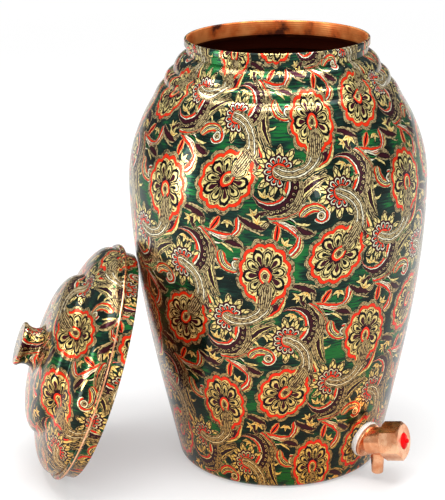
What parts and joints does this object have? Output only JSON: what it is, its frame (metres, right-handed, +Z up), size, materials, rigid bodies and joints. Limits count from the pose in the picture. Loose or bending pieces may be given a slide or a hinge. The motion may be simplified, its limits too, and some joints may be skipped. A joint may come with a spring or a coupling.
{
  "type": "copper water dispenser",
  "caption": "Tall spun copper water pot with a printed lacquer finish, a push-button tap low on its wall and a domed lid taken off and leaning beside it.",
  "frame": {"origin": "centre of the pot's flat base, on the surface it stands on", "axes": "+Z up along the pot's axis; -Y is the front; the tap is towards +X and the leaning lid towards -X"},
  "size_m": [0.3014, 0.2297, 0.315],
  "materials": {
    "printed_lacquer": "copper sheet under a glossy printed lacquer",
    "copper": "polished rose copper",
    "brass": "turned brass",
    "steel": "drawn wire",
    "white_rubber": "soft white",
    "black_rubber": "matt",
    "red_plastic": "glossy moulded"
  },
  "bodies": {
    "pot": {"lower_shell": "printed_lacquer", "upper_shell": "printed_lacquer", "wall_washer": "white_rubber", "inner_gasket": "black_rubber", "lock_nut": "brass", "tap_body": "copper", "tap_spout": "copper", "bonnet_nut": "copper", "bonnet_seal": "black_rubber", "stem_o_ring": "black_rubber", "return_spring": "steel"},
    "button": {"push_button": "red_plastic", "plunger": "brass", "valve_disc": "black_rubber", "valve_backing": "brass", "valve_nut": "brass"},
    "lid": {"lid_shell": "printed_lacquer", "lid_rim_wire": "steel", "lid_collar": "printed_lacquer", "lid_knob": "printed_lacquer", "knob_screw": "brass", "knob_washer": "brass"}
  },
  "joints": [
    {"name": "button_press", "type": "slide", "parent": "pot", "child": "button", "axis": [-0.8905, 0.4153, -0.1857], "range_m": [0, 0.0025], "stiffness_N_per_m": 1500, "springref_m": -0.002, "deforming": ["return_spring"]},
    {"name": "lid_lift", "type": "slide", "parent": "pot", "child": "lid", "axis": [-0.924, -0.1712, 0.342], "range_m": [0, 0.2]}
  ]
}
